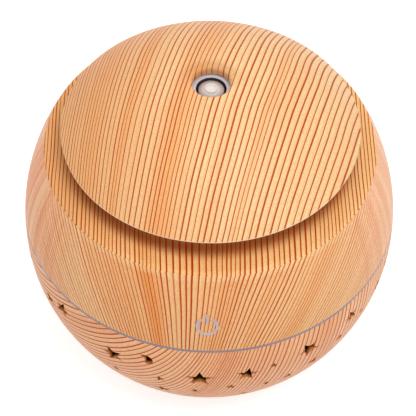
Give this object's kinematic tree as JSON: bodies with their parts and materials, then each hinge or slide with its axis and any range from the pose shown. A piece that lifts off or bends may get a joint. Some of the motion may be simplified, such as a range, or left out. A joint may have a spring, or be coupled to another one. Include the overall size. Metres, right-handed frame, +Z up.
{
  "type": "essential oil diffuser",
  "caption": "Round ultrasonic oil diffuser with wood-grained shells, a star-pierced bowl, a trim ring and a lift-off dome lid with a mist outlet.",
  "frame": {"origin": "centre of the bounding box's bottom face, on the surface that the foot pads stand on", "axes": "+Z up through the mist outlet, front with the touch mark towards -Y, +X to the right seen from the front"},
  "size_m": [0.1, 0.1, 0.0886],
  "materials": {
    "wood_film_lower": "semi-gloss printed wood film",
    "wood_film_upper": "semi-gloss printed wood film",
    "trim_grey": "satin grey",
    "mark_grey": "flat print",
    "base_plastic": "fine matt",
    "pad_rubber": "matt",
    "screw_steel": "zinc plated",
    "wood_film_lid": "semi-gloss printed wood film",
    "white_pp": "satin white",
    "seal_silicone": "matt",
    "nozzle_grey": "silver satin",
    "button_grey": "satin",
    "tank_pp": "translucent white satin",
    "duct_plastic": "fine matt",
    "disc_ceramic": "plated ceramic",
    "seal_orange": "matt",
    "clamp_alloy": "die cast",
    "fan_black": "fine matt",
    "coil_copper": "enamelled copper",
    "bush_bronze": "sintered bronze",
    "rotor_black": "fine matt",
    "magnet_black": "bonded ferrite",
    "shaft_steel": "ground",
    "board_white": "white solder mask",
    "light_lens": "clear yellow phosphor",
    "board_green": "green solder mask",
    "ferrite": "ferrite",
    "can_blue": "sleeved can",
    "chip_black": "moulded epoxy",
    "transistor_black": "moulded epoxy",
    "spring_gold": "plated",
    "socket_black": "moulded",
    "contact_tin": "tinned",
    "wire_red": "insulation",
    "wire_white": "insulation",
    "wire_orange": "insulation",
    "wire_black": "insulation"
  },
  "bodies": {
    "body": {"lower_shell": "wood_film_lower", "upper_shell": "wood_film_upper", "trim_ring": "trim_grey", "power_mark": "mark_grey", "base_plate": "base_plastic", "foot_pads": "pad_rubber", "base_screws": "screw_steel", "water_tank": "tank_pp", "air_riser": "white_pp", "air_duct": "duct_plastic", "ultrasonic_disc": "disc_ceramic", "disc_seal": "seal_orange", "disc_clamp": "clamp_alloy", "clamp_screws": "screw_steel", "fan_frame": "fan_black", "fan_coils": "coil_copper", "fan_bearing": "bush_bronze", "fan_screws": "screw_steel", "light_board": "board_white", "lights": "light_lens", "main_board": "board_green", "board_screws": "screw_steel", "inductor": "ferrite", "capacitors": "can_blue", "control_chip": "chip_black", "power_transistor": "transistor_black", "touch_board": "board_green", "touch_spring": "spring_gold", "inlet_socket": "socket_black", "inlet_contacts": "contact_tin", "inlet_leads": "wire_red", "fan_leads": "wire_red", "disc_leads": "wire_white", "light_leads": "wire_orange", "touch_lead": "wire_black"},
    "lid": {"lid_cover": "wood_film_lid", "lid_liner": "white_pp", "lid_gasket": "seal_silicone", "lid_screws": "screw_steel", "mist_nozzle": "nozzle_grey", "mist_button": "button_grey"},
    "fan": {"fan_rotor": "rotor_black", "fan_magnet": "magnet_black", "fan_shaft": "shaft_steel"}
  },
  "joints": [
    {"name": "lid_lift", "type": "slide", "parent": "body", "child": "lid", "axis": [0, 0, 1], "range_m": [0, 0.05]},
    {"name": "fan_spin", "type": "hinge", "parent": "body", "child": "fan", "pos_m": [-0.01802, 0, 0.007], "axis": [0, 0, 1], "continuous": true}
  ]
}
